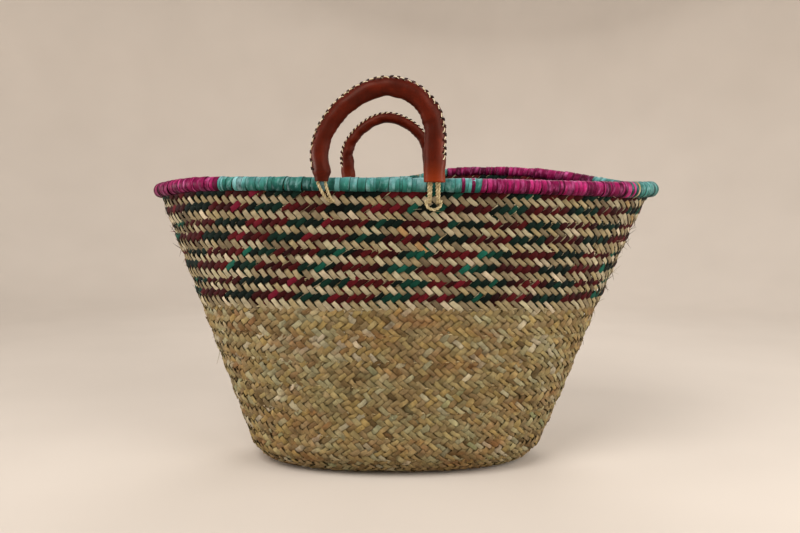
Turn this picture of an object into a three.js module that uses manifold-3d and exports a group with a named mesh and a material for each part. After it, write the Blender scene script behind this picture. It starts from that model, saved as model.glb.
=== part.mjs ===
// Straw market basket: an oval basket of plaited palm-leaf courses, a wrapped rim and two leather handles.
// Millimetres, +Z up, the front towards -Y, the origin under the middle of the base.

import * as THREE from "three";
import { mergeVertices } from "three/addons/utils/BufferGeometryUtils.js";
import Module from "manifold-3d";

// Basket form. The wall sizes are those of the outer face.
const MOUTH_HALF_LENGTH = 287;
const MOUTH_HALF_DEPTH = 138;
const MOUTH_HEIGHT = 319;
const FOOT_HALF_LENGTH = 164;
const FOOT_HALF_DEPTH = 97;
const FOOT_CORNER_RADIUS = 42;
const PLAN_SQUARENESS = 2.3;
const WALL_THICKNESS = 3.6;

// The basket leans: its mouth sits this far to the right of its foot.
const MOUTH_SHIFT = 12;

// The soft mouth stands higher or lower in places. Each wave has its rise and the plan angles where it
// starts, peaks and ends.
const MOUTH_WAVES = [
  { rise: 19, from: 5, peak: 68, to: 161 },
  { rise: 10, from: 3, peak: 78, to: 92 },
  { rise: -3, from: 153, peak: 187, to: 222 },
  { rise: 2.2, from: 204, peak: 225, to: 279 },
  { rise: -3.3, from: 263, peak: 321, to: 372 },
];

// Plaited courses, sewn edge to edge with a cord.
const BASE_TURN_UP = 14;
const NATURAL_COURSES = 7;
const COLOURED_COURSES = 4;
const COLOURED_BAND_WIDTH = 127.5;
const SEAM_CORD = 2;
const FIT = 0.3;

// Rim roll: a rope core on the wall's top edge, wrapped in dyed leaf strip.
const RIM_FRONT_RADIUS = 7.2;
const RIM_BACK_RADIUS = 5.7;
const RIM_LEFT_RADIUS = 7.4;
const RIM_RIGHT_RADIUS = 9;
const RIM_CORE_RADIUS = 4.6;
const WRAP_GAP = 0.4;
const WRAP_SLOT_CLEARANCE = 0.6;

// Handles.
const HANDLE_WIDTH = 111;
const LEATHER_THICKNESS = 2.2;
const SEAM_LIP_HEIGHT = 0.9;
const SEAM_LIP_THICKNESS = 1.3;
const LACE_RADIUS = 0.7;
const RIM_CLEARANCE = 1.2;
const LEATHER_END_HEIGHT = 2;
const EYE_POCKET = 8;
const EYE_CORD = 3.2;
const EYE_SWEEP = 150;
const EYE_HOLE_CLEARANCE = 0.6;

// Facets.
const RING_STEPS = 40;
const CORNER_STEPS = 3;
const ARCH_STEPS = 20;

// Each handle's sizes. The first leg bows outwards above its straight end. Each shoulder has a fullness, where
// 0.55 is near a quarter ellipse.
const HANDLES = [
  {
    name: "front",
    facing: -1,
    middle: -28,
    radius: 9,
    top: 94.9,
    straightLegs: [14, 49],
    bow: 12,
    apexShift: 9.9,
    fullness: [0.49, 0.55],
  },
  {
    name: "back",
    facing: 1,
    middle: -21,
    radius: 7,
    top: 85,
    straightLegs: [34.5, 34.5],
    bow: 0,
    apexShift: 1.7,
    fullness: [0.48, 0.46],
  },
];

// Rim wraps in order round the mouth, each with the plan angle in degrees where it starts.
const WRAPS = [
  { name: "rim_wrap_right_turquoise", colour: "turquoise", start: -30.5 },
  { name: "rim_wrap_back_right_fuchsia", colour: "fuchsia", start: 33 },
  { name: "rim_wrap_back_turquoise", colour: "turquoise", start: 80.5 },
  { name: "rim_wrap_left_fuchsia", colour: "fuchsia", start: 139 },
  { name: "rim_wrap_front_turquoise", colour: "turquoise", start: 230.6 },
  { name: "rim_wrap_front_right_fuchsia", colour: "fuchsia", start: 282.6 },
];

const COLOURS = {
  straw: { color: 0xb99f6d, roughness: 0.75 },
  wine: { color: 0x7c3a36, roughness: 0.7 },
  twine: { color: 0xc9b68a, roughness: 0.85 },
  rope: { color: 0xa98f63, roughness: 0.9 },
  turquoise: { color: 0x3fb5bd, roughness: 0.55 },
  fuchsia: { color: 0xb3246b, roughness: 0.55 },
  leather: { color: 0x8a4a2b, roughness: 0.5 },
  lace: { color: 0xd8c7a3, roughness: 0.7 },
};

const wasm = await Module();
wasm.setup();

const radians = THREE.MathUtils.degToRad;

function slopeAngle(foot, mouth) {
  return Math.atan2(mouth - foot, MOUTH_HEIGHT);
}

// Half-width of the outer face at a height, for one profile: a round corner, then a straight leaning wall.
function profileHalf(foot, mouth, height) {
  const lean = slopeAngle(foot, mouth);
  const radius = FOOT_CORNER_RADIUS;
  const cornerTop = radius * (1 - Math.sin(lean));
  if (height >= cornerTop) {
    return foot + height * Math.tan(lean);
  }
  const centre = foot + radius * Math.tan(lean) - radius / Math.cos(lean);
  return centre + Math.sqrt(radius ** 2 - (radius - height) ** 2);
}

const frontLean = slopeAngle(FOOT_HALF_DEPTH, MOUTH_HALF_DEPTH);
const cornerLength = FOOT_CORNER_RADIUS * (Math.PI / 2 - frontLean);
const cornerTopHeight = FOOT_CORNER_RADIUS * (1 - Math.sin(frontLean));
const mouthLength = cornerLength + (MOUTH_HEIGHT - cornerTopHeight) / Math.cos(frontLean);

// Height of the outer face at a distance up the front wall, measured from the edge of the flat base.
function heightAt(distance) {
  if (distance < cornerLength) {
    return FOOT_CORNER_RADIUS * (1 - Math.cos(distance / FOOT_CORNER_RADIUS));
  }
  return cornerTopHeight + (distance - cornerLength) * Math.cos(frontLean);
}

// How far one wave lifts the mouth at a plan angle.
function waveAt(degrees, { rise, from, peak, to }) {
  const offset = THREE.MathUtils.euclideanModulo(degrees - peak + 180, 360) - 180;
  const share = offset < 0 ? offset / (from - peak) : offset / (to - peak);
  return share < 1 ? rise * Math.cos((share * Math.PI) / 2) ** 2 : 0;
}

function riseAt(degrees) {
  return MOUTH_WAVES.reduce((sum, wave) => sum + waveAt(degrees, wave), 0);
}

// Outer face at a plan angle, 0 at the right end and 90 at the back, and a distance up the wall.
function outerPoint(degrees, distance) {
  const height = heightAt(distance);
  const cos = Math.cos(radians(degrees));
  const sin = Math.sin(radians(degrees));
  const power = 2 / PLAN_SQUARENESS;
  const halfLength = profileHalf(FOOT_HALF_LENGTH, MOUTH_HALF_LENGTH, height);
  const halfDepth = profileHalf(FOOT_HALF_DEPTH, MOUTH_HALF_DEPTH, height);
  const shift = (MOUTH_SHIFT * height) / MOUTH_HEIGHT;
  const x = shift + halfLength * Math.sign(cos) * Math.abs(cos) ** power;
  const y = halfDepth * Math.sign(sin) * Math.abs(sin) ** power;
  return new THREE.Vector3(x, y, height + riseAt(degrees) * (height / MOUTH_HEIGHT) ** 2);
}

// Directions on the wall: along the course, up the wall and outwards.
function wallFrame(degrees, distance) {
  const point = outerPoint(degrees, distance);
  const along = outerPoint(degrees + 0.5, distance).sub(outerPoint(degrees - 0.5, distance)).normalize();
  const low = Math.max(distance - 0.5, 0.01);
  const up = outerPoint(degrees, distance + 0.5).sub(outerPoint(degrees, low));
  up.addScaledVector(along, -up.dot(along)).normalize();
  const out = new THREE.Vector3().crossVectors(along, up).normalize();
  return { point, along, up, out };
}

function wallPoint(degrees, distance, inward) {
  const { point, out } = wallFrame(degrees, distance);
  return point.addScaledVector(out, -inward);
}

// A closed body through rings of points. A loop joins its last ring to its first; else the ends are capped.
function loft(rings, capOutline = null) {
  const size = rings[0].length;
  const faces = [];
  const spans = capOutline ? rings.length - 1 : rings.length;
  for (let i = 0; i < spans; i++) {
    const here = i * size;
    const next = ((i + 1) % rings.length) * size;
    for (let j = 0; j < size; j++) {
      const k = (j + 1) % size;
      faces.push(here + j, here + k, next + k);
      faces.push(here + j, next + k, next + j);
    }
  }
  if (capOutline) {
    const last = (rings.length - 1) * size;
    for (const [a, b, c] of THREE.ShapeUtils.triangulateShape(capOutline, [])) {
      faces.push(a, c, b);
      faces.push(last + a, last + b, last + c);
    }
  }
  const points = rings.flat();
  const outward = signedVolume(points, faces) > 0;
  const geometry = new THREE.BufferGeometry().setFromPoints(points);
  geometry.setIndex(outward ? faces : faces.reverse());
  return geometry;
}

function signedVolume(points, faces) {
  let volume = 0;
  const cross = new THREE.Vector3();
  for (let i = 0; i < faces.length; i += 3) {
    cross.crossVectors(points[faces[i + 1]], points[faces[i + 2]]);
    volume += points[faces[i]].dot(cross) / 6;
  }
  return volume;
}

// An outline set in a frame, which has an origin and two directions for the outline's axes.
function placed(outline, { origin, u, v }) {
  return outline.map((p) => origin.clone().addScaledVector(u, p.x).addScaledVector(v, p.y));
}

// An outline carried along frames.
function sweep(outline, frames, capped) {
  const rings = frames.map((frame) => placed(outline, frame));
  return loft(rings, capped ? outline : null);
}

function roundOutline(radius, sides) {
  const turn = (2 * Math.PI) / sides;
  return Array.from({ length: sides }, (_, i) =>
    new THREE.Vector2(radius * Math.cos((i + 0.5) * turn), radius * Math.sin((i + 0.5) * turn)),
  );
}

function arcPoints(radius, from, to, steps) {
  return Array.from({ length: steps + 1 }, (_, i) => {
    const angle = from + ((to - from) * i) / steps;
    return new THREE.Vector2(radius * Math.cos(angle), radius * Math.sin(angle));
  });
}

// An arc whose straight facets touch the circle from outside.
function arcRoundCircle(radius, from, to, steps) {
  const reach = radius / Math.cos((to - from) / steps / 2);
  return arcPoints(reach, from, to, steps);
}

function tube(path, radius, sides, steps) {
  const shape = new THREE.Shape(roundOutline(radius, sides));
  return new THREE.ExtrudeGeometry(shape, { extrudePath: path, steps, bevelEnabled: false });
}

function ringAngles(from, to, steps) {
  return Array.from({ length: steps }, (_, i) => from + ((to - from) * i) / steps);
}

const allRound = ringAngles(0, 360, RING_STEPS);

// Wall courses.
const rimSeat = RIM_CORE_RADIUS + FIT;
const wallTop = mouthLength - rimSeat;
const naturalWidth = (wallTop - BASE_TURN_UP - COLOURED_BAND_WIDTH) / NATURAL_COURSES;
const colouredWidth = COLOURED_BAND_WIDTH / COLOURED_COURSES;
const seamHalf = SEAM_CORD / 2 + FIT;

function courseGeometry(bottom, top) {
  const steps = bottom < cornerLength ? CORNER_STEPS : 1;
  const distances = Array.from({ length: steps + 1 }, (_, i) => bottom + ((top - bottom) * i) / steps);
  const rings = allRound.map((angle) => [
    ...distances.map((distance) => wallPoint(angle, distance, 0)),
    ...distances.toReversed().map((distance) => wallPoint(angle, distance, WALL_THICKNESS)),
  ]);
  return loft(rings);
}

function baseGeometry() {
  const top = BASE_TURN_UP - seamHalf;
  const distances = Array.from({ length: CORNER_STEPS + 1 }, (_, i) => (top * i) / CORNER_STEPS);
  const outer = distances.map((distance) => allRound.map((angle) => wallPoint(angle, distance, 0)));
  const inner = distances.toReversed().map((distance) =>
    allRound.map((angle) => wallPoint(angle, distance, WALL_THICKNESS)),
  );
  const outline = outer[0].map((point) => new THREE.Vector2(point.x, point.y));
  return loft([...outer, ...inner], outline);
}

function seamGeometry(distance) {
  const half = SEAM_CORD / 2;
  const square = [
    new THREE.Vector2(-half, -half),
    new THREE.Vector2(half, -half),
    new THREE.Vector2(half, half),
    new THREE.Vector2(-half, half),
  ];
  const frames = allRound.map((angle) => {
    const { point, out, up } = wallFrame(angle, distance);
    return { origin: point.addScaledVector(out, -WALL_THICKNESS / 2), u: out, v: up };
  });
  return sweep(square, frames, false);
}

// Rim roll.
function rimFrame(angle) {
  const { point, out, up } = wallFrame(angle, mouthLength);
  return { origin: point.addScaledVector(out, -WALL_THICKNESS / 2), u: out, v: up };
}

// The same at any angle, on the straight facet between two steps of the ring.
function rimFacetFrame(angle) {
  const step = 360 / RING_STEPS;
  const before = Math.floor(angle / step) * step;
  const low = rimFrame(before);
  const high = rimFrame(before + step);
  const share = (angle - before) / step;
  return {
    origin: low.origin.lerp(high.origin, share),
    u: low.u.lerp(high.u, share),
    v: low.v.lerp(high.v, share),
  };
}

// The roll is thickest at its right end and thinnest along the back.
function rimRadius(degrees) {
  const cos = Math.cos(radians(degrees));
  const sin = Math.sin(radians(degrees));
  const end = cos > 0 ? RIM_RIGHT_RADIUS : RIM_LEFT_RADIUS;
  const side = sin > 0 ? RIM_BACK_RADIUS : RIM_FRONT_RADIUS;
  return end * cos ** 2 + side * sin ** 2;
}

function wrapOutline(degrees) {
  const outer = rimRadius(degrees);
  const inner = RIM_CORE_RADIUS + FIT;
  const slot = WALL_THICKNESS / 2 + WRAP_SLOT_CLEARANCE;
  const outerStart = -Math.acos(slot / outer);
  const innerStart = -Math.acos(slot / inner);
  return [
    ...arcPoints(outer, outerStart, Math.PI - outerStart, 11),
    ...arcRoundCircle(inner, Math.PI - innerStart, innerStart, 8),
  ];
}

function wrapGeometry(start, end) {
  const gapAngle = THREE.MathUtils.radToDeg(WRAP_GAP / MOUTH_HALF_DEPTH);
  const from = start + gapAngle / 2;
  const to = end - gapAngle / 2;
  const stops = allRound.flatMap((angle) => [angle - 360, angle, angle + 360]);
  const between = stops.filter((angle) => angle > from && angle < to).sort((a, b) => a - b);
  const rings = [from, ...between, to].map((angle) => placed(wrapOutline(angle), rimFacetFrame(angle)));
  return loft(rings, wrapOutline(from));
}

// Handles, each in its own frame: x along its hinge line, y into the basket, z up.
// A handle's middle is measured along the mouth from the mouth's own middle.
function planAngleAtX(x, facing) {
  const share = Math.abs(x / MOUTH_HALF_LENGTH) ** (PLAN_SQUARENESS / 2);
  const angle = THREE.MathUtils.radToDeg(Math.acos(Math.sign(x) * share));
  return facing > 0 ? angle : 360 - angle;
}

function hingeFrame({ facing, middle }) {
  const legs = [-1, 1].map((side) =>
    rimFrame(planAngleAtX(middle + (side * HANDLE_WIDTH) / 2, facing)).origin,
  );
  const origin = legs[0].clone().add(legs[1]).multiplyScalar(0.5);
  const along = legs[1].clone().sub(legs[0]).normalize().multiplyScalar(-facing);
  const up = new THREE.Vector3(0, 0, 1);
  up.addScaledVector(along, -up.dot(along)).normalize();
  const inward = new THREE.Vector3().crossVectors(up, along);
  return new THREE.Matrix4().makeBasis(along, inward, up).setPosition(origin);
}

function archPath({ top, straightLegs, bow, apexShift, facing, fullness }) {
  const half = HANDLE_WIDTH / 2;
  const apex = -facing * apexShift;
  const [firstLeg, lastLeg] = straightLegs;
  const [first, last] = fullness;
  const firstShoulder = firstLeg + first * (top - firstLeg);
  const lastShoulder = lastLeg + last * (top - lastLeg);
  const path = new THREE.Path();
  path.moveTo(-half, LEATHER_END_HEIGHT);
  path.lineTo(-half, firstLeg);
  path.bezierCurveTo(-half - bow, firstShoulder, apex - first * (half + apex), top, apex, top);
  path.bezierCurveTo(apex + last * (half - apex), top, half, lastShoulder, half, lastLeg);
  path.lineTo(half, LEATHER_END_HEIGHT);
  return path;
}

// Frames along the arch, with both ends drawn back by a distance up the straight legs.
function archFrames(handle, drawnBack) {
  const path = archPath(handle);
  const frames = Array.from({ length: ARCH_STEPS + 1 }, (_, i) => {
    const point = path.getPointAt(i / ARCH_STEPS);
    const tangent = path.getTangentAt(i / ARCH_STEPS);
    return {
      origin: new THREE.Vector3(point.x, -legOffset(handle), point.y),
      u: new THREE.Vector3(-tangent.y, 0, tangent.x),
      v: new THREE.Vector3(0, 1, 0),
    };
  });
  frames.at(0).origin.z += drawnBack;
  frames.at(-1).origin.z += drawnBack;
  return frames;
}

function legOffset({ facing, radius }) {
  const roll = facing < 0 ? RIM_FRONT_RADIUS : RIM_BACK_RADIUS;
  return roll + RIM_CLEARANCE + radius;
}

function leatherOutline({ radius }) {
  const bore = radius - LEATHER_THICKNESS;
  const lip = radius + SEAM_LIP_HEIGHT;
  const slit = FIT / 2;
  const root = Math.asin(SEAM_LIP_THICKNESS / radius);
  const edge = Math.asin(slit / bore);
  return [
    new THREE.Vector2(lip, slit),
    new THREE.Vector2(lip, SEAM_LIP_THICKNESS),
    ...arcPoints(radius, root, 2 * Math.PI - root, 9),
    new THREE.Vector2(lip, -SEAM_LIP_THICKNESS),
    new THREE.Vector2(lip, -slit),
    ...arcRoundCircle(bore, 2 * Math.PI - edge, edge, 8),
  ];
}

function laceFrames(handle) {
  const reach = handle.radius + SEAM_LIP_HEIGHT + FIT + LACE_RADIUS;
  return archFrames(handle, 0).map(({ origin, u, v }) => ({
    origin: origin.addScaledVector(u, reach),
    u,
    v,
  }));
}

// An eye: one cord leaves the leather's end, goes round under the rim and through the wall, and comes back.
function eyePath(handle, side) {
  const reach = legOffset(handle);
  const leg = (side * HANDLE_WIDTH) / 2;
  const spread = handle.radius - LEATHER_THICKNESS - FIT - EYE_CORD / 2;
  const top = LEATHER_END_HEIGHT + EYE_POCKET - FIT;
  const sweepAngle = radians(EYE_SWEEP);
  const strand = [new THREE.Vector3(-spread, -reach, top)];
  for (let i = 0; i <= 10; i++) {
    const angle = (sweepAngle * i) / 10;
    strand.push(new THREE.Vector3(-spread, -reach * Math.cos(angle), -reach * Math.sin(angle)));
  }
  const onward = new THREE.Vector3(0, Math.sin(sweepAngle), -Math.cos(sweepAngle));
  const turn = new THREE.Vector3(0, -reach * Math.cos(sweepAngle), -reach * Math.sin(sweepAngle));
  const bight = arcPoints(spread, Math.PI, 0, 6).slice(1, -1).map((p) =>
    turn.clone().addScaledVector(onward, p.y).setX(p.x),
  );
  const back = strand.toReversed().map((p) => new THREE.Vector3(spread, p.y, p.z));
  const points = [...strand, ...bight, ...back].map((p) => p.setX(p.x + leg));
  return new THREE.CatmullRomCurve3(points);
}

function eyeGeometry(handle, side, radius) {
  return tube(eyePath(handle, side), radius, 6, 28);
}

// Cutting one solid with others.
function solidOf(geometry) {
  const bare = geometry.clone();
  bare.deleteAttribute("normal");
  bare.deleteAttribute("uv");
  const merged = mergeVertices(bare, 1e-4);
  const vertProperties = new Float32Array(merged.attributes.position.array);
  const triVerts = new Uint32Array(merged.index.array);
  return new wasm.Manifold(new wasm.Mesh({ numProp: 3, vertProperties, triVerts }));
}

function geometryOf(solid) {
  const mesh = solid.getMesh();
  const geometry = new THREE.BufferGeometry();
  geometry.setAttribute("position", new THREE.BufferAttribute(mesh.vertProperties, 3));
  geometry.setIndex(new THREE.BufferAttribute(mesh.triVerts, 1));
  return geometry;
}

// Holes for the eyes through the course under the rim.
function pierce(geometry) {
  let solid = solidOf(geometry);
  for (const handle of HANDLES) {
    const frame = hingeFrame(handle);
    for (const side of [-1, 1]) {
      const bore = eyeGeometry(handle, side, EYE_CORD / 2 + EYE_HOLE_CLEARANCE).applyMatrix4(frame);
      solid = solid.subtract(solidOf(bore));
    }
  }
  return geometryOf(solid);
}

const basket = new THREE.Group();
basket.name = "straw_market_basket";

function addPiece(parent, name, geometry, colour) {
  const material = new THREE.MeshStandardMaterial({ metalness: 0, ...COLOURS[colour] });
  const piece = new THREE.Mesh(geometry, material);
  geometry.computeVertexNormals();
  piece.name = name;
  parent.add(piece);
}

addPiece(basket, "base_plait", baseGeometry(), "straw");
for (let i = 0; i < NATURAL_COURSES; i++) {
  const bottom = BASE_TURN_UP + i * naturalWidth;
  const geometry = courseGeometry(bottom + seamHalf, bottom + naturalWidth - seamHalf);
  addPiece(basket, `natural_course_${i + 1}`, geometry, "straw");
}
for (let i = 0; i < COLOURED_COURSES; i++) {
  const bottom = wallTop - COLOURED_BAND_WIDTH + i * colouredWidth;
  const isTop = i === COLOURED_COURSES - 1;
  const geometry = courseGeometry(bottom + seamHalf, bottom + colouredWidth - (isTop ? 0 : seamHalf));
  addPiece(basket, `coloured_course_${i + 1}`, isTop ? pierce(geometry) : geometry, "wine");
}
for (let i = 0; i < NATURAL_COURSES + COLOURED_COURSES; i++) {
  const colouredBelow = Math.max(i - NATURAL_COURSES, 0);
  const distance = BASE_TURN_UP + (i - colouredBelow) * naturalWidth + colouredBelow * colouredWidth;
  addPiece(basket, `seam_cord_${i + 1}`, seamGeometry(distance), "twine");
}

addPiece(basket, "rim_core", sweep(roundOutline(RIM_CORE_RADIUS, 8), allRound.map(rimFrame), false), "rope");
WRAPS.forEach(({ name, colour, start }, i) => {
  const end = i + 1 < WRAPS.length ? WRAPS[i + 1].start : WRAPS[0].start + 360;
  addPiece(basket, name, wrapGeometry(start, end), colour);
});

for (const handle of HANDLES) {
  const group = new THREE.Group();
  group.name = `${handle.name}_handle`;
  group.applyMatrix4(hingeFrame(handle));
  basket.add(group);
  const coreRadius = handle.radius - LEATHER_THICKNESS - FIT;
  const core = sweep(roundOutline(coreRadius, 8), archFrames(handle, EYE_POCKET), true);
  const leather = sweep(leatherOutline(handle), archFrames(handle, 0), true);
  const lace = sweep(roundOutline(LACE_RADIUS, 5), laceFrames(handle), true);
  addPiece(group, `${handle.name}_handle_core`, core, "rope");
  addPiece(group, `${handle.name}_handle_leather`, leather, "leather");
  addPiece(group, `${handle.name}_handle_lacing`, lace, "lace");
  const sides = handle.facing < 0 ? ["left", "right"] : ["right", "left"];
  sides.forEach((label, i) => {
    addPiece(group, `${handle.name}_${label}_eye`, eyeGeometry(handle, 2 * i - 1, EYE_CORD / 2), "twine");
  });
}

export default basket;
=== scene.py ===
# Looks of the straw market basket: plaited leaf courses, wound rim, leather handles and cord eyes.
import math
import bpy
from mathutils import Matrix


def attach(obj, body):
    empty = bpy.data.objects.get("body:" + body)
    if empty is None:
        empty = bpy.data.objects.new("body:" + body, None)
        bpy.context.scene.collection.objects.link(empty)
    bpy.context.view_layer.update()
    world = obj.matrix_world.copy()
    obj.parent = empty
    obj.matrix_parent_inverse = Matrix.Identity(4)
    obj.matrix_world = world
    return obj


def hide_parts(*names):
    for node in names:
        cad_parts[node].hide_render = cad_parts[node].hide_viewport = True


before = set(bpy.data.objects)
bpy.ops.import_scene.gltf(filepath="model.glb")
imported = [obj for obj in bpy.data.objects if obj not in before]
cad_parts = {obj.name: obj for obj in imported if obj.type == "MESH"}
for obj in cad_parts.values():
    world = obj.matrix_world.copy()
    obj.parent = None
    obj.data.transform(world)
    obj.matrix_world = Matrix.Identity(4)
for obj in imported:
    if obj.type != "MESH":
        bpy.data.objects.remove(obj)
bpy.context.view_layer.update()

from types import SimpleNamespace

import bpy
import numpy as np
from mathutils import Euler

# Basket form in metres, the same as the solids'. The wall sizes are those of the outer face.
MOUTH_HALF_LENGTH = 0.287
MOUTH_HALF_DEPTH = 0.138
MOUTH_HEIGHT = 0.319
FOOT_HALF_LENGTH = 0.164
FOOT_HALF_DEPTH = 0.097
FOOT_CORNER_RADIUS = 0.042
PLAN_SQUARENESS = 2.3
WALL_THICKNESS = 0.0036

# The basket leans: its mouth sits this far to the right of its foot.
MOUTH_SHIFT = 0.012

# The soft mouth stands higher or lower in places: the rise, and the plan angles of its start, peak and end.
MOUTH_WAVES = [
    (0.019, 5, 68, 161), (0.010, 3, 78, 92), (-0.003, 153, 187, 222), (0.0022, 204, 225, 279),
    (-0.0033, 263, 321, 372),
]

# The wall's right end is drawn in below the rim: how far, and between which shares of the wall's height.
RIGHT_DRAW = 0.0035
RIGHT_DRAW_HEIGHTS = (0.35, 0.6, 0.94, 1.0)

# Courses of plait.
BASE_TURN_UP = 0.014
BASE_RING_WIDTH = 0.028
NATURAL_COURSES = 7
COLOURED_COURSES = 4
COLOURED_BAND_WIDTH = 0.1275
ROWS = 4
NATURAL_SPACING = 0.0088
COLOURED_SPACING = 0.0093
NATURAL_FALLING_SHARE = 0.5
COLOURED_FALLING_SHARE = 0.56
SEAM_TWINE_RADIUS = 0.001
SEAM_TWINE_STEP = 0.004

# Each course's lower edge stands out over the course below it, most of all at the basket's two ends.
COURSE_STEP = 0.0024
FRONT_STEP_SHARE = 0.3

# The rows are not quite level: at mid wall they stand this much higher, more so at the left, and they wobble
# in waves, each with its number round the basket, its turn up the wall and its start.
ROW_LIFT = 0.0028
ROW_TILT = 0.0016
ROW_WOBBLE = 0.0007
ROW_WAVES = [(3, 9, 0), (7, -14, 1), (13, 21, 2)]

# Leaf strips: how they turn over and tuck in, in half rows, and how the dyed ones lie on pale ones.
STRIP_HALF_THICKNESS = 0.0003
WEAVE_DEPTH = 0.00105
FLOAT_CROWN = 0.00025
TURN_OVER = 0.35
TUCK = 0.8
OVERLAY_LIFT = 2 * STRIP_HALF_THICKNESS + 0.0001
NARROW_DYED_WIDTH = 0.76
NARROW_DYED_SHARE = 0.25

# How unevenly strips lie: along the course in half rows, up the wall, in depth, in roll and in width.
STRIP_JITTER = 0.1
POINT_JITTER = 0.05
LEVEL_JITTER = 0.0003
DEPTH_JITTER = 0.0001
ROLL_JITTER = 0.1
WIDTH_JITTER = 0.04
NATURAL_LOOSENESS = 1.6

# The plait's cross lines don't fan out with the wall: how far they lean back beside the two ends.
PLAIT_SHEAR = 0.42

# How much of their width the pale and the dyed strips lose at the left and the right end.
PALE_THINNING = (0.25, 0.0)
DYED_THINNING = (0.0, 0.14)

# Painted shade on the undyed strips' edges, darkest at the seams: the share of that shade in between.
MID_COURSE_EDGE_SHADE = 0.4

# Dyed groups: strips in each colour, and where a green group starts at the front in each coloured course.
RED_STRIPS = 5
GREEN_STRIPS = 4
GREEN_STARTS_X = [-0.022, -0.024, 0.0275, 0.003]

# Rim roll. Each wrap has its place, its colour, the plan angle where it starts, the mean width of a turn, how
# uneven it is and its mean tones where it starts and ends.
RIM_FRONT_RADIUS = 0.0072
RIM_BACK_RADIUS = 0.0057
RIM_LEFT_RADIUS = 0.0081
RIM_RIGHT_RADIUS = 0.009
RIM_CORE_RADIUS = 0.0046
RIM_SEAT = RIM_CORE_RADIUS + 0.0003
WRAPS = [
    ("right", "turquoise", -30.5, 0.0028, 0.0002, 0.45, 0.45),
    ("back_right", "fuchsia", 33, 0.0050, 0.0003, 0.45, 0.45),
    ("back", "turquoise", 80.5, 0.0060, 0.0002, 0.45, 0.45),
    ("left", "fuchsia", 139, 0.0055, 0.0002, 0.35, 0.4),
    ("front", "turquoise", 230.6, 0.0062, 0.0002, 0.42, 0.6),
    ("front_right", "fuchsia", 282.6, 0.0031, 0.0002, 0.46, 0.36),
]

# Turns of the winding: where they start and end round the roll in degrees, their leaf, and the painted light
# on their tops with painted shade underneath.
TURN_ANGLES = (-84, 264)
TURN_STEPS = 19
TURN_OVERLAP = 1.2
TURN_HALF_THICKNESS = 0.00022
TURN_SINK = 0.0003
TURN_CORE_GAP = 0.0005
TURN_PAINTED_LIGHT = 0.22

# Single turns of another colour or tone: the colour, the plan angle, the width and the tone.
RIM_STRIPES = [
    ("fuchsia", 279.0, 0.0030, 0.25),
    ("fuchsia", 280.9, 0.0032, 0.25),
    ("fuchsia", 321.2, 0.0030, 0.0),
    ("fuchsia", 322.6, 0.0050, 1.0),
    ("turquoise", 324.2, 0.0026, 0.05),
    ("fuchsia", 325.2, 0.0026, 1.0),
    ("turquoise", 326.4, 0.0036, 0.1),
    ("straw", 327.7, 0.0022, 0.85),
    ("turquoise", 328.9, 0.0040, 0.25),
]

# Handles and their leather.
HANDLE_WIDTH = 0.111
LEATHER_THICKNESS = 0.0022
LEATHER_END_HEIGHT = 0.002
LEATHER_END_ROUND = 0.0006
SEAM_LIP_HEIGHT = 0.0009
RIM_CLEARANCE = 0.0012
FIT = 0.0003
ORANGE_END_LENGTH = 0.022
PLEAT_HEIGHT = 0.00032

# The lace whipped over the standing seam and the cream thread between its turns. Angles are from the seam.
STITCH_PITCH = 0.0064
STITCH_JITTER = 0.0004
LACE_MARGIN = 2.5 * STITCH_PITCH
LACE_SLANT = 0.0017
LACE_REACH = 0.66
LACE_HALF_WIDTH = 0.0017
LACE_HALF_THICKNESS = 0.0004
LACE_LIFT = 0.0003
LACE_UNEVEN = (0.85, 1.15)
THREAD_START = 0.0012
THREAD_RUN = 0.0046
THREAD_ANGLES = (0.22, 0.62)
THREAD_RADIUS = 0.0005
THREAD_LIFT = 0.0004

# Cord eyes of two plies. A doubled eye's inner strand is drawn in at the leather and under the rim.
EYE_POCKET = 0.008
EYE_CORD = 0.0032
EYE_SWEEP = 150
INNER_STRAND = (0.4, 0.2)
PLY_OFFSET = 0.0008
PLY_RADIUS = 0.00092
PLY_PITCH = 0.007
PLY_TONES = (0.3, 0.7)

# The two handles. Pairs are for the first and the second leg. The widths are shares of the leather's round at
# places along it. A doubled eye is also lashed to the wall. The seeds are for the leather and the stitches.
HANDLES = [
    dict(
        name="front", facing=-1, eyes=("left", "right"), middle=-0.028, radius=0.009, top=0.0949,
        straight_legs=(0.014, 0.049), bow=0.012, apex_shift=0.0099, fullness=(0.49, 0.55),
        eye_slants=(0.009, 0.0), eye_pinches=((0.25, 0.75), (0.0, 0.0)), doubled=(False, True),
        width_places=(0.0, 0.004, 0.009, 0.016, 0.03, 0.11, 0.17, 0.22),
        width_shares=(0.70, 0.76, 1.02, 0.97, 0.95, 1.03, 1.10, 1.14),
        worn=0.8, seeds=(105, 125),
    ),
    dict(
        name="back", facing=1, eyes=("right", "left"), middle=-0.021, radius=0.007, top=0.085,
        straight_legs=(0.0345, 0.0345), bow=0.0, apex_shift=0.0017, fullness=(0.48, 0.46),
        eye_slants=(0.0, 0.0), eye_pinches=((0.0, 0.0), (0.0, 0.0)), doubled=(True, True),
        width_places=(0.0, 0.16, 0.19, 0.21),
        width_shares=(1.0, 1.0, 1.15, 1.28),
        worn=0.3, seeds=(104, 124),
    ),
]

# Section of a leaf strip, as shares of its half-width and half-thickness, where its edges take painted shade,
# and that shade's tint.
LENS_SIDES = np.array([-1, -0.8, 0.8, 1, 0.8, -0.8])
LENS_LIFTS = np.array([0, 1, 1, 0, -1, -1])
LENS_EDGES = np.array([1, 0, 0, 1, 0, 0])
EDGE_SHADE_TINT = (1.0, 0.85, 0.55)

# Steps in the grain from strip to strip, and for each point that a bundle already has.
STRIP_GRAIN_STEP = 1.7
POINT_GRAIN_STEP = 0.13

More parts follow.
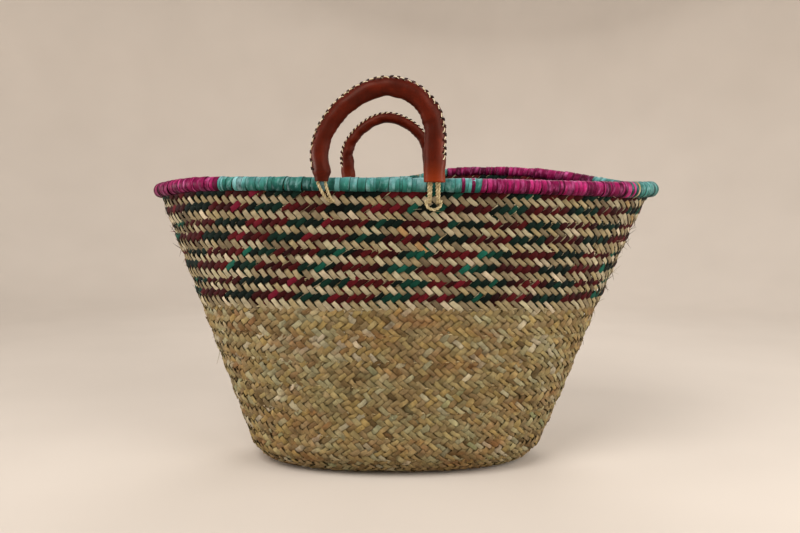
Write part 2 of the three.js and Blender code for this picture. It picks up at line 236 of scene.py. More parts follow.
# Camera: the photograph's frame, with the eye worked out from the rows' curves and the handles' sizes.
CAMERA_PLACE = (0.0055, -0.892, 0.290)
CAMERA_PITCH_DOWN = 4.03
CAMERA_LENS = 33.57
CAMERA_SENSOR = 36

# Stage: a round floor that curves up into a backdrop, a hair below the basket.
FLOOR_RADIUS = 1.6
BACKDROP_CURVE = 0.9
BACKDROP_HEIGHT = 2.6
STAGE_DROP = 0.0005
STAGE_SIDES = 72

# Lights: the place, what each is aimed at, size, power, colour and spread. The last two lift the ends.
LIGHTS = {
    "key": ((-0.9, -1.55, 2.15), (0, 0, 0.2), 1.5, 54, (1.0, 0.98, 0.96), 180),
    "fill": ((1.5, -1.3, 1.3), (0, 0, 0.2), 1.8, 34, (1.0, 0.99, 0.98), 180),
    "back": ((0.4, 1.6, 1.9), (0, 0, 0.2), 1.6, 22, (1.0, 0.98, 0.96), 180),
    "left": ((-1.75, -0.1, 0.35), (-0.15, -0.12, 0.27), 0.7, 1.8, (1.0, 0.98, 0.95), 45),
    "right": ((1.75, -0.1, 0.35), (0.15, -0.12, 0.27), 0.7, 1.25, (1.0, 0.98, 0.95), 45),
}


# Form of the wall

FRONT_LEAN = math.atan2(MOUTH_HALF_DEPTH - FOOT_HALF_DEPTH, MOUTH_HEIGHT)
CORNER_LENGTH = FOOT_CORNER_RADIUS * (math.pi / 2 - FRONT_LEAN)
CORNER_TOP = FOOT_CORNER_RADIUS * (1 - math.sin(FRONT_LEAN))
MOUTH_LENGTH = CORNER_LENGTH + (MOUTH_HEIGHT - CORNER_TOP) / math.cos(FRONT_LEAN)
WALL_TOP = MOUTH_LENGTH - RIM_SEAT


def unit(vectors):
    return vectors / np.maximum(np.linalg.norm(vectors, axis=-1, keepdims=True), 1e-12)


def turned(first, second, angle):
    """Directions turned from the first towards the second by an angle."""
    return first * np.cos(angle)[..., None] + second * np.sin(angle)[..., None]


def lengths_along(path):
    """Length of a path from its start to each of its points."""
    return np.concatenate([[0], np.cumsum(np.linalg.norm(np.diff(path, axis=0), axis=1))])


def points_at(path, lengths, places):
    return np.stack([np.interp(places, lengths, column) for column in path.T], -1)


def profile_half(foot, mouth, height):
    lean = math.atan2(mouth - foot, MOUTH_HEIGHT)
    radius = FOOT_CORNER_RADIUS
    centre = foot + radius * math.tan(lean) - radius / math.cos(lean)
    corner = centre + np.sqrt(np.clip(radius**2 - (radius - height) ** 2, 0, None))
    straight = foot + height * math.tan(lean)
    return np.where(height >= radius * (1 - math.sin(lean)), straight, corner)


def height_at(distance):
    corner = FOOT_CORNER_RADIUS * (1 - np.cos(np.minimum(distance, CORNER_LENGTH) / FOOT_CORNER_RADIUS))
    straight = CORNER_TOP + (distance - CORNER_LENGTH) * math.cos(FRONT_LEAN)
    return np.where(distance < CORNER_LENGTH, corner, straight)


def rise_at(degrees):
    total = 0
    for rise, start, peak, end in MOUTH_WAVES:
        offset = (degrees - peak + 180) % 360 - 180
        share = np.where(offset < 0, offset / (start - peak), offset / (end - peak))
        total = total + rise * np.cos(np.minimum(share, 1) * math.pi / 2) ** 2
    return total


def outer_point(degrees, distance):
    """Outer face at a plan angle and a distance up the wall. Below zero it runs in across the flat base."""
    degrees, distance = np.broadcast_arrays(degrees, distance)
    height = height_at(np.maximum(distance, 0))
    inset = np.minimum(distance, 0)
    cos, sin = np.cos(np.radians(degrees)), np.sin(np.radians(degrees))
    power = 2 / PLAN_SQUARENESS
    half_length = profile_half(FOOT_HALF_LENGTH, MOUTH_HALF_LENGTH, height) + inset
    half_depth = profile_half(FOOT_HALF_DEPTH, MOUTH_HALF_DEPTH, height) + inset
    x = MOUTH_SHIFT * height / MOUTH_HEIGHT + half_length * np.sign(cos) * np.abs(cos) ** power
    y = half_depth * np.sign(sin) * np.abs(sin) ** power
    return np.stack([x, y, height + rise_at(degrees) * (height / MOUTH_HEIGHT) ** 2], -1)


def drawn_in(degrees, distance):
    reach = np.interp(distance / WALL_TOP, RIGHT_DRAW_HEIGHTS, (0, 1, 1, 0))
    return RIGHT_DRAW * reach * np.clip(np.cos(np.radians(degrees)), 0, 1) ** 4


def wall_frame(degrees, distance):
    """Middle of the wall's thickness, and the directions along the course, up the wall and outwards."""
    turn, climb = 0.5, 0.0005
    along = unit(outer_point(degrees + turn, distance) - outer_point(degrees - turn, distance))
    up = outer_point(degrees, distance + climb) - outer_point(degrees, distance - climb)
    up = unit(up - along * np.sum(up * along, -1, keepdims=True))
    out = unit(np.cross(along, up))
    depth = WALL_THICKNESS / 2 + drawn_in(degrees, distance)
    return outer_point(degrees, distance) - out * depth[..., None], along, up, out


def drift(degrees, distance):
    """How far the rows are off their level."""
    share = np.clip(distance / WALL_TOP, 0, 1)
    angle = np.radians(degrees)
    wobble = sum(np.sin(around * angle + climb * share + start) for around, climb, start in ROW_WAVES)
    return (ROW_LIFT - ROW_TILT * np.cos(angle) + ROW_WOBBLE * wobble) * np.sin(np.pi * share)


def even_angles(distance):
    """Shares of the length round the basket, the plan angles there, and that length."""
    angles = np.linspace(0, 360, 8 * 360 + 1)
    lengths = lengths_along(wall_frame(angles, np.full_like(angles, distance))[0])
    return lengths / lengths[-1], angles, lengths[-1]


def plan_angle_at_x(x, half_length, facing):
    share = math.copysign(abs(x / half_length) ** (PLAN_SQUARENESS / 2), x)
    angle = math.degrees(math.acos(share))
    return angle if facing > 0 else 360 - angle


# Meshes

def add_object(name, data):
    item = bpy.data.objects.new(name, data)
    bpy.context.collection.objects.link(item)
    return item


def add_mesh(name, points, faces, material):
    mesh = bpy.data.meshes.new(name)
    mesh.from_pydata(points, [], faces)
    mesh.polygons.foreach_set("use_smooth", np.ones(len(mesh.polygons), bool))
    mesh.materials.append(material)
    return add_object(name, mesh)


class Bundle:
    """Strips and cords gathered into one mesh. Each point has its strip's tone and its place on the strip."""

    def __init__(self):
        self.points, self.quads, self.tones, self.fibres, self.edges = [], [], [], [], []
        self.size = 0

    def add(self, rings, tones, closed=False, edges=0.0):
        """rings is (strips, steps, sides, 3), with even sides. tones has one a strip or one a step."""
        strips, steps, sides, _ = rings.shape
        index = np.arange(strips * steps * sides).reshape(strips, steps, sides) + self.size
        here, there = (index, np.roll(index, -1, 1)) if closed else (index[:, :-1], index[:, 1:])
        beside, beyond = np.roll(here, -1, 2), np.roll(there, -1, 2)
        self.quads.append(np.stack([here, beside, beyond, there], -1).reshape(-1, 4))
        if not closed:
            for end, order in ((index[:, 0], 1), (index[:, -1], -1)):
                for k in range(1, sides // 2):
                    cap = [end[:, k - 1], end[:, sides - k], end[:, sides - k - 1], end[:, k]]
                    self.quads.append(np.stack(cap, -1)[:, ::order])
        run = np.linalg.norm(np.diff(rings.mean(2), axis=1), axis=-1)
        number = np.arange(strips) * STRIP_GRAIN_STEP + self.size * POINT_GRAIN_STEP
        fibre = np.empty(rings.shape)
        fibre[..., 0] = np.concatenate([np.zeros((strips, 1)), np.cumsum(run, 1)], 1)[:, :, None]
        fibre[..., 1] = np.linalg.norm(np.diff(rings, axis=2, append=rings[:, :, :1]), axis=-1).cumsum(2)
        fibre[..., 2] = number[:, None, None]
        step_tones = np.broadcast_to(np.reshape(tones, (strips, -1)), (strips, steps))
        self.points.append(rings.reshape(-1, 3))
        self.tones.append(np.repeat(step_tones, sides))
        self.fibres.append(fibre.reshape(-1, 3))
        # edges weight the painted shade at the strips' edges.
        self.edges.append(np.broadcast_to(edges, (strips, steps, sides)).ravel())
        self.size += strips * steps * sides

    def add_ribbons(self, centres, across, normal, half_width, half_thickness, tones, edge=1.0):
        """Leaf strips with lens-shaped sections."""
        side = across[:, :, None] * (half_width[..., None] * LENS_SIDES)[..., None]
        lift = normal[:, :, None] * (half_thickness * LENS_LIFTS)[:, None]
        self.add(centres[:, :, None] + side + lift, tones, edges=np.atleast_1d(edge)[:, None] * LENS_EDGES)

    def build(self, name, material, replaced=None, slot=None, body="basket"):
        points, quads = np.concatenate(self.points).tolist(), np.concatenate(self.quads).tolist()
        piece = add_mesh(name, points, quads, material)
        attributes = piece.data.attributes
        for label, values in (("tone", self.tones), ("edge", self.edges)):
            attributes.new(label, "FLOAT", "POINT").data.foreach_set("value", np.concatenate(values))
        fibre = attributes.new("fibre", "FLOAT_VECTOR", "POINT")
        fibre.data.foreach_set("vector", np.concatenate(self.fibres).ravel())
        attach(piece, body)
        if replaced:
            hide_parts(replaced)


def carried_frames(centres):
    """Two directions square to each path, carried along it without twist."""
    tangents = unit(np.gradient(centres, axis=1))
    aside = [0.31, 0.47, 0.83]
    sides = [unit(np.cross(tangents[:, 0], aside))]
    for step in range(1, centres.shape[1]):
        side = sides[-1] - tangents[:, step] * np.sum(sides[-1] * tangents[:, step], -1, keepdims=True)
        sides.append(unit(side))
    sides = np.stack(sides, 1)
    return sides, np.cross(tangents, sides)


def round_sections(centres, radius, sides=6):
    first, second = carried_frames(centres)
    turn = np.arange(sides) * 2 * math.pi / sides
    ring = turned(first[:, :, None], second[:, :, None], turn)
    return centres[:, :, None] + ring * np.asarray(radius)[..., None, None]


def twisted_plies(path, plies=2):
    """Paths of plies laid round one path."""
    first, second = carried_frames(path[None])
    turns = lengths_along(path) / PLY_PITCH
    angles = [(turns + ply / plies) * 2 * math.pi for ply in range(plies)]
    return np.stack([path + PLY_OFFSET * turned(first[0], second[0], angle) for angle in angles])


def resampled(path, step):
    lengths = lengths_along(path)
    return points_at(path, lengths, np.linspace(0, lengths[-1], max(int(lengths[-1] / step), 2)))


# Materials

def srgb(code):
    channels = [int(code[i:i + 2], 16) / 255 for i in (1, 3, 5)]
    linear = [c / 12.92 if c <= 0.04045 else ((c + 0.055) / 1.055) ** 2.4 for c in channels]
    return (*linear, 1)


def grey(value):
    return (value, value, value, 1)


class Shader:
    """A material's node tree, with short ways to add nodes. A setting is a fixed value or a node's output."""

    def __init__(self, name):
        self.material = bpy.data.materials.new(name)
        self.material.use_nodes = True
        self.tree = self.material.node_tree

    def feed(self, node, settings):
        for key, value in settings.items():
            if isinstance(value, bpy.types.NodeSocket):
                self.tree.links.new(value, node.inputs[key])
            elif key in node.inputs:
                node.inputs[key].default_value = value
            else:
                setattr(node, key, value)

    def node(self, kind, **settings):
        node = self.tree.nodes.new(f"ShaderNode{kind}")
        self.feed(node, settings)
        return node

    def finished(self, **settings):
        """The material with its surface set. Underscores stand for the spaces in names."""
        surface = self.tree.nodes["Principled BSDF"]
        self.feed(surface, {key.replace("_", " "): value for key, value in settings.items()})
        return self.material

    def attribute(self, name, output="Fac"):
        return self.node("Attribute", attribute_name=name).outputs[output]

    def object_place(self):
        return self.node("TexCoord").outputs["Object"]

    def ramp(self, factor, stops):
        node = self.node("ValToRGB", Fac=factor)
        elements = node.color_ramp.elements
        while len(elements) < len(stops):
            elements.new(0.5)
        for element, (place, colour) in zip(elements, stops):
            element.position = place
            element.color = colour if isinstance(colour, tuple) else srgb(colour)
        return node.outputs["Color"]

    def noise(self, vector, grain, detail):
        """Noise with a grain in waves a metre along fibres, across them and over strips."""
        place = self.node("Mapping", Vector=vector, Scale=grain).outputs["Vector"]
        return self.node("TexNoise", Vector=place, Scale=1.0, Detail=detail, Roughness=0.6).outputs["Fac"]

    def mixed(self, factor, colour, other, blend="MIX"):
        mix = self.node("Mix", data_type="RGBA", blend_type=blend, Factor=factor, A=colour, B=other)
        return mix.outputs["Result"]

    def shade(self, colour, factor, low, high, span=(0.25, 0.75), tint=(1, 1, 1)):
        """colour multiplied by a grey that goes from low to a tinted high over a span of the factor."""
        tinted = tuple(high * channel for channel in tint)
        shades = self.ramp(factor, [(span[0], grey(low)), (span[1], (*tinted, 1))])
        return self.mixed(1.0, colour, shades, "MULTIPLY")

    def patched(self, colour, pattern, end, most, other):
        """colour turned by up to a share towards another one, in the high parts of a pattern."""
        return self.mixed(self.ramp(pattern, [(0.5, grey(0)), (end, grey(most))]), colour, srgb(other))

    def between(self, factor, low, high):
        span = self.node("MapRange", Value=factor, **{"To Min": low, "To Max": high})
        return span.outputs["Result"]

    def bumps(self, *heights):
        """Bump nodes in a row, each (height, strength, distance in metres)."""
        before = {}
        for height, strength, distance in heights:
            bump = self.node("Bump", Height=height, Strength=strength, Distance=distance, **before)
            before = {"Normal": bump.outputs["Normal"]}
        return before["Normal"]


def leaf_material(
    name, stops, streak=(0.66, 1.18), fibres=1300, edge_shade=0.2, rough=(0.55, 0.75), streak_sheen_colour=None, stains=()
):
    """Palm-leaf strip: a tone a strip, streaks along its fibres, pale streaks that are partly painted sheen,
    slow blotches, painted shade at the edges, wide stains.
    """
    shader = Shader(name)
    fibre = shader.attribute("fibre", "Vector")
    colour = shader.ramp(shader.attribute("tone"), stops)
    streaks = shader.noise(fibre, (70, fibres, 3.1), detail=4.0)
    blotches = shader.noise(fibre, (160, 120, 5.3), detail=2.0)
    # Pale streaks along the fibres: partly real streaks, partly painted sheen.
    if streak_sheen_colour:
        streak_sheen_pattern = shader.noise(fibre, (70, 900, 7.7), detail=3.0)
        colour = shader.patched(colour, streak_sheen_pattern, end=0.75, most=0.7, other=streak_sheen_colour)
    for stain, grain in zip(stains, ((16, 16, 38), (21, 21, 38))):
        patches = shader.noise(shader.object_place(), grain, detail=3.0)
        colour = shader.patched(colour, patches, end=0.72, most=0.55, other=stain)
    colour = shader.shade(colour, streaks, *streak)
    colour = shader.shade(colour, blotches, low=0.78, high=1.14)
    # Painted shade: the strips' edges are darkened where shadow falls between strips and at the seams.
    colour = shader.shade(colour, shader.attribute("edge"), 1.0, edge_shade, (0.0, 1.0), EDGE_SHADE_TINT)
    return shader.finished(
        Base_Color=colour,
        Roughness=shader.between(streaks, *rough),
        Specular_IOR_Level=0.06,
        Normal=shader.bumps((streaks, 0.4, 0.0004), (blotches, 0.25, 0.0008)),
    )


def leather_material():
    """Russet leather, more orange where the tone is high."""
    shader = Shader("russet_leather")
    place = shader.attribute("fibre", "Vector")
    clouds = shader.noise(place, (38, 60, 1.0), detail=4.0)
    colour = shader.ramp(clouds, [(0.2, "#300701"), (0.45, "#3d0b02"), (0.62, "#4b1104"), (0.85, "#652009")])
    colour = shader.mixed(shader.attribute("tone"), colour, srgb("#7c2a0a"))
    grain = shader.noise(place, (1500, 1500, 1.0), detail=5.0)
    creases = shader.noise(place, (420, 60, 1.0), detail=4.0)
    return shader.finished(
        Base_Color=shader.shade(colour, creases, low=0.82, high=1.08),
        Roughness=shader.between(grain, 0.36, 0.5),
        Specular_IOR_Level=0.14,
        Specular_Tint=(1.0, 0.65, 0.5, 1),
        Normal=shader.bumps((grain, 0.25, 0.0002), (creases, 0.35, 0.0007)),
    )


def cord_material(name, stops, rough=(0.7, 0.9)):
    shader = Shader(name)
    hairs = shader.noise(shader.attribute("fibre", "Vector"), (250, 2200, 2.3), detail=3.0)
    return shader.finished(
        Base_Color=shader.shade(shader.ramp(shader.attribute("tone"), stops), hairs, low=0.7, high=1.12),
        Roughness=shader.between(hairs, *rough),
        Specular_IOR_Level=0.1,
        Normal=shader.bumps((hairs, 0.5, 0.0004)),
    )


def hidden_rope_material():
    """The rope cores keep their solids, so a wave draws on their lay."""
    shader = Shader("hidden_rope")
    place = shader.object_place()
    lay = shader.node("TexWave", Vector=place, Scale=90.0, Distortion=1.5, Detail=2.0).outputs["Fac"]
    hairs = shader.noise(place, (900, 900, 900), detail=3.0)
    colour = shader.ramp(lay, [(0.0, "#5d4526"), (1.0, "#a5885a")])
    return shader.finished(
        Base_Color=shader.shade(colour, hairs, low=0.75, high=1.1),
        Roughness=0.9,
        Normal=shader.bumps((lay, 0.5, 0.001)),
    )


PALE_STRAW = leaf_material(
    "pale_straw",
    [
        (0.0, "#594c39"), (0.25, "#776a52"), (0.4, "#8c7d5b"), (0.55, "#948871"),
        (0.7, "#9d9476"), (0.85, "#ae9f86"), (0.93, "#8b8661"), (1.0, "#96764e"),
    ],
    edge_shade=0.25,
)
FIELD_STRAW = leaf_material(
    "field_straw",
    [
        (0.0, "#4d3e26"), (0.2, "#6e5a3a"), (0.35, "#7c6a4c"), (0.5, "#857145"),
        (0.65, "#888264"), (0.8, "#9e917a"), (0.9, "#777956"), (1.0, "#7b5537"),
    ],
    streak=(0.42, 1.38),
    fibres=450,
    stains=("#80522f", "#87835f"),
)
WINE_LEAF = leaf_material(
    "wine_leaf",
    [(0.0, "#170404"), (0.4, "#2f0808"), (0.7, "#460c0e"), (0.92, "#58101a"), (1.0, "#66122a")],
)
GREEN_LEAF = leaf_material(
    "green_leaf",
    [(0.0, "#040a07"), (0.45, "#07140f"), (0.65, "#0a271e"), (0.87, "#0f4234"), (1.0, "#175545")],
)
TURQUOISE_LEAF = leaf_material(
    "turquoise_leaf",
    [(0.0, "#0b2e2b"), (0.3, "#194c46"), (0.55, "#2c695f"), (0.8, "#45807d"), (1.0, "#669999")],
    streak=(0.42, 1.42),
    rough=(0.4, 0.6),
    streak_sheen_colour="#90b8bc",
)
FUCHSIA_LEAF = leaf_material(
    "fuchsia_leaf",
    [(0.0, "#310418"), (0.35, "#57082f"), (0.7, "#7b1044"), (1.0, "#9c2d63")],
    streak=(0.2, 1.72),
    edge_shade=0.1,
    rough=(0.4, 0.6),
    streak_sheen_colour="#b4588b",
)
LEATHER = leather_material()
TWINE = cord_material("palm_twine", [(0.0, "#a08f68"), (0.5, "#b9a880"), (1.0, "#cfc19b")])
DARK_LACE = cord_material("dark_lace", [(0.0, "#1a0a05"), (1.0, "#34160b")], rough=(0.6, 0.8))
CREAM_THREAD = cord_material("cream_thread", [(0.0, "#c9b892"), (1.0, "#e0d3b4")])
ROPE = hidden_rope_material()
DYED_LEAVES = {"red": WINE_LEAF, "green": GREEN_LEAF}
RIM_MATERIALS = {"turquoise": TURQUOISE_LEAF, "fuchsia": FUCHSIA_LEAF, "straw": PALE_STRAW}


def show_rope(node):
    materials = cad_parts[node].data.materials
    materials.clear()
    materials.append(ROPE)


# Plaited courses

def strip_steps():
    """Steps along a strip in half rows, and its depth there where it starts on the outside."""
    steps, depths = [-TUCK, -TURN_OVER], [0.0, 0.0]
    for row in range(ROWS):
        side = 1 if row % 2 == 0 else -1
        steps += [2 * row + TURN_OVER, 2 * row + 1, 2 * row + 2 - TURN_OVER]
        depths += [side * WEAVE_DEPTH, side * (WEAVE_DEPTH + FLOAT_CROWN), side * WEAVE_DEPTH]
    steps += [2 * ROWS + TURN_OVER, 2 * ROWS + TUCK]
    depths += [0.0, 0.0]
    return np.array(steps), np.array(depths)


class Course:
    """A plaited ring between two distances up the wall, with strips that fall to the right and that rise."""

    def __init__(self, bottom, top, spacing, falling_share, seed, step=COURSE_STEP, loose=1.0):
        self.bottom, self.top, self.step, self.loose = bottom, top, step, loose
        self.middle = (bottom + top) / 2
        self.shares, self.angles, self.length = even_angles(self.middle)
        self.count = round(self.length / spacing)
        self.spacing = self.length / self.count
        self.pair = (top - bottom) / (ROWS / 2)
        self.falling_share = falling_share
        self.random = np.random.default_rng(seed)

    def distance(self, steps):
        """Distance up the wall at steps counted in half rows."""
        falling = self.pair * self.falling_share
        marks = [0]
        for row in range(ROWS):
            marks.append(marks[-1] + (falling if row % 2 == 0 else self.pair - falling))
        inside = np.interp(steps, np.arange(ROWS + 1) * 2, marks)
        before = np.minimum(steps, 0) * falling / 2
        after = np.maximum(steps - 2 * ROWS, 0) * (self.pair - falling) / 2
        return self.bottom + inside + before + after

    def strips(self, rising, width_share, lift=0.0, chosen=None, lowest=-TUCK, thin=(0.0, 0.0)):
        """Strips of one direction, all or those chosen, from a lowest step up and thinner at the ends."""
        steps, depths = strip_steps()
        depths = depths[steps >= lowest]
        steps = steps[steps >= lowest]
        numbers = np.arange(self.count) if chosen is None else np.asarray(chosen)
        jitter = self.random.normal(0, STRIP_JITTER * self.loose, (len(numbers), 1))
        jitter = jitter + self.random.normal(0, POINT_JITTER * self.loose, (len(numbers), len(steps)))
        if rising:
            shares = (steps - 2 * numbers[:, None] + jitter) / (2 * self.count)
            depths = -depths
        else:
            shares = (2 * numbers[:, None] + 1 - steps + jitter) / (2 * self.count)
        level = np.broadcast_to(self.distance(steps), shares.shape)
        angle = np.radians(np.interp(shares % 1, self.shares, self.angles))
        shear = -PLAIT_SHEAR * np.sin(2 * angle)
        shares = shares - shear * (level - self.middle) / self.length
        degrees = np.interp(shares % 1, self.shares, self.angles)
        wander = self.random.normal(0, LEVEL_JITTER * self.loose, shares.shape)
        middle, _, _, out = wall_frame(degrees, level + drift(degrees, level) + wander)
        ends = FRONT_STEP_SHARE + (1 - FRONT_STEP_SHARE) * np.cos(np.radians(degrees)) ** 2
        stand = self.step * ends * (0.5 - (level - self.bottom) / (self.top - self.bottom))
        depth = depths[None] + lift + stand + self.random.normal(0, DEPTH_JITTER, shares.shape)
        centres = middle + out * depth[..., None]
        tangent = unit(np.gradient(centres, axis=1))
        flat = unit(np.cross(out, tangent))
        face = unit(np.cross(tangent, flat))
        roll = self.random.normal(0, ROLL_JITTER * self.loose, shares.shape)
        row = self.pair / 2
        advance = self.spacing - np.maximum(shear, 0) * row if rising else self.spacing + shear * row
        half = self.spacing * np.sin(np.arctan2(row, advance)) / 2 * np.asarray(width_share)[:, None]
        thinned = thin[0] * np.maximum(-np.cos(angle), 0) + thin[1] * np.maximum(np.cos(angle), 0)
        half = half * (1 - thinned) * self.random.normal(1, WIDTH_JITTER, shares.shape)
        return centres, turned(flat, face, roll), turned(face, -flat, roll), half, STRIP_HALF_THICKNESS

    def widths(self, least, most):
        """Widths of all strips, as shares of the room that each has."""
        return self.random.uniform(least, most, self.count)

    def tones(self, count=None, spread=0.17, stray=0.25, middle=0.45, most=0.85):
        """Mostly middling tones, with a stray share of strips of any tone."""
        count = count or self.count
        middling = np.clip(self.random.normal(middle, spread, count), 0, most)
        return np.where(self.random.uniform(0, 1, count) < stray, self.random.uniform(0, 1, count), middling)


def natural_course(number, bottom, top, seed):
    course = Course(bottom, top, NATURAL_SPACING, NATURAL_FALLING_SHARE, seed, loose=NATURAL_LOOSENESS)
    turns = [TURN_OVER, 2 - TURN_OVER, 2 * ROWS - 2 + TURN_OVER, 2 * ROWS - TURN_OVER]
    # How much painted shade the strip edges take: most at the seams, less mid course.
    edge = np.interp(strip_steps()[0], turns, [1.0, MID_COURSE_EDGE_SHADE, MID_COURSE_EDGE_SHADE, 1.0])
    bundle = Bundle()
    for rising in (False, True):
        tones = course.tones(spread=0.15, stray=0.18)
        bundle.add_ribbons(*course.strips(rising, course.widths(least=0.9, most=1.16)), tones, edge)
    bundle.build(f"natural_weave_{number}", FIELD_STRAW, f"natural_course_{number}", "natural_plait")


def dyed_groups(course, start_x):
    """Numbers of the red and the green rising strips, counted from a green group at the front."""
    half_length = float(outer_point(0.0, course.middle)[0])
    share = np.interp(plan_angle_at_x(start_x, half_length, -1), course.angles, course.shares)
    start_step = 3
    first = round((start_step - share * 2 * course.count) / 2)
    period = RED_STRIPS + GREEN_STRIPS
    half_round = period * (course.count // (2 * period))
    order = (first - np.arange(course.count) + half_round) % course.count
    green = order % period < GREEN_STRIPS
    return np.flatnonzero(~green), np.flatnonzero(green)


def coloured_course(number, bottom, top, start_x, seed):
    """Pale falling strips and dyed rising ones. Some dyed strips are narrow and lie on a pale one."""
    name = f"coloured_course_{number}"
    course = Course(bottom, top, COLOURED_SPACING, COLOURED_FALLING_SHARE, seed)
    narrow = course.random.uniform(0, 1, course.count) < NARROW_DYED_SHARE
    backed = np.flatnonzero(narrow)
    straw = Bundle()
    falling = course.strips(False, course.widths(least=0.86, most=1.08), thin=PALE_THINNING)
    straw.add_ribbons(*falling, course.tones(spread=0.22))
    backing = course.strips(True, course.widths(least=0.8, most=0.95)[backed], chosen=backed)
    straw.add_ribbons(*backing, course.tones(len(backed)))
    straw.build(f"coloured_weave_{number}", PALE_STRAW, name, "dyed_plait")
    for (label, leaf), numbers in zip(DYED_LEAVES.items(), dyed_groups(course, start_x)):
        full = course.random.uniform(0.96, 1.08, len(numbers))
        widths = np.where(narrow[numbers], NARROW_DYED_WIDTH, full)
        dyed = Bundle()
        rising = course.strips(True, widths, OVERLAY_LIFT, numbers, 0.0, DYED_THINNING)
        dyed.add_ribbons(*rising, course.tones(len(numbers)))
        if number == COLOURED_COURSES:
            widths = course.widths(least=0.8, most=1.0)[numbers]
            turned_in = course.strips(False, widths, -OVERLAY_LIFT, numbers, 2 * ROWS - 2)
            dyed.add_ribbons(*turned_in, course.tones(len(numbers)))
        dyed.build(f"{name}_{label}_strips", leaf, None, "dyed_plait")


def seam_twine(number, distance):
    shares, angles, length = even_angles(distance)
    places = np.linspace(0, 1, int(length / SEAM_TWINE_STEP), endpoint=False)
    degrees = np.interp(places, shares, angles)
    middle, _, up, out = wall_frame(degrees, distance + drift(degrees, distance))
    step = np.arange(len(places))[:, None]
    outwards, upwards = 0.0003 * np.sin(step * 1.9), 0.0004 * np.cos(step * 2.3)
    path = middle + out * outwards + up * upwards
    around = turned(out[:, None], up[:, None], np.arange(4) * math.pi / 2)
    tone = np.array([0.4])
    bundle = Bundle()
    bundle.add((path[:, None] + SEAM_TWINE_RADIUS * around)[None], tone, closed=True)
    bundle.build(f"seam_twine_{number}", TWINE, f"seam_cord_{number}", "twine")


def base():
    """The flat base in two plaited rings, with straight strips in the slit inside them."""
    bundle = Bundle()
    edges = [(-BASE_RING_WIDTH, BASE_TURN_UP), (-2 * BASE_RING_WIDTH, -BASE_RING_WIDTH)]
    for seed, (inner, outer) in enumerate(edges, 60):
        course = Course(inner, outer, NATURAL_SPACING, NATURAL_FALLING_SHARE, seed, step=0.0)
        for rising in (False, True):
            strips = course.strips(rising, course.widths(least=0.85, most=1.0))
            bundle.add_ribbons(*strips, course.tones())
    overlap, half_width, wave_height = 0.004, 0.003, 0.0006
    reach = float(outer_point(0.0, 0.0)[0]) - 2 * BASE_RING_WIDTH + overlap
    random = np.random.default_rng(64)
    x = np.linspace(-reach, reach, 24)
    for y in (-0.0052, 0.0, 0.0052):
        z = WALL_THICKNESS / 2 + wave_height * np.sin(x * 260 + y * 500)
        centres = np.stack([x, np.full_like(x, y), z], -1)[None]
        across = np.broadcast_to([0.0, 1.0, 0.0], centres.shape)
        normal = np.broadcast_to([0.0, 0.0, -1.0], centres.shape)
        half = np.full((1, len(x)), half_width)
        bundle.add_ribbons(centres, across, normal, half, STRIP_HALF_THICKNESS, random.uniform(0, 1, 1))
    bundle.build("base_weave", FIELD_STRAW, "base_plait", "natural_plait")


def wall():
    natural_width = (WALL_TOP - BASE_TURN_UP - COLOURED_BAND_WIDTH) / NATURAL_COURSES
    coloured_width = COLOURED_BAND_WIDTH / COLOURED_COURSES
    seam = BASE_TURN_UP
    for number in range(1, NATURAL_COURSES + 1):
        seam_twine(number, seam)
        natural_course(number, seam, seam + natural_width, seed=9 + number)
        seam += natural_width
    for number, start_x in enumerate(GREEN_STARTS_X, 1):
        seam_twine(NATURAL_COURSES + number, seam)
        coloured_course(number, seam, seam + coloured_width, start_x, seed=29 + number)
        seam += coloured_width


def loose_ends(name, material, count, thickness, seed):
    """Fine slivers that stand off the wall, most of them at the two ends and under the rim."""
    random = np.random.default_rng(seed)
    place = random.uniform(0, 1, count)
    at_right, at_ends = place < 0.35, place < 0.6
    right, left = random.normal(-12, 14, count), random.normal(188, 14, count)
    degrees = np.where(at_right, right, np.where(at_ends, left, random.uniform(0, 360, count)))
    below_rim = np.where(at_ends, 0.02, 0.0) + np.abs(random.normal(0, 0.09, count))
    lowest, highest = 0.06, WALL_TOP - 0.004
    middle, along, up, out = wall_frame(degrees, np.clip(WALL_TOP - below_rim, lowest, highest))
    length = random.uniform(0.006, 0.017, count)
    stand = random.uniform(0.15, 0.6, count)
    flat = turned(along, up, random.uniform(0, 2 * math.pi, count))
    bend = random.normal(0, 0.25, count)
    share = np.linspace(0, 1, 7)
    run = (share * length[:, None])[..., None]
    curl = (share**2 * (length * bend)[:, None])[..., None]
    root = 0.001
    paths = middle[:, None] + out[:, None] * (root + run * stand[:, None, None])
    paths = paths + flat[:, None] * run + np.cross(flat, out)[:, None] * curl
    taper = 1 - 0.75 * share
    radius = thickness * taper * random.uniform(0.7, 1.3, (count, 1))
    bundle = Bundle()
    bundle.add(round_sections(paths, radius, 4), random.uniform(0, 1, count))
    bundle.build(name, material)


# Rim

RIM_SHARES, RIM_ANGLES, RIM_LENGTH = even_angles(MOUTH_LENGTH)


def rim_length_at(degrees):
    return np.interp(degrees % 360, RIM_ANGLES, RIM_SHARES) * RIM_LENGTH


def rim_radius(degrees):
    cos, sin = np.cos(np.radians(degrees)), np.sin(np.radians(degrees))
    end = np.where(cos > 0, RIM_RIGHT_RADIUS, RIM_LEFT_RADIUS)
    side = np.where(sin > 0, RIM_BACK_RADIUS, RIM_FRONT_RADIUS)
    return end * cos**2 + side * sin**2


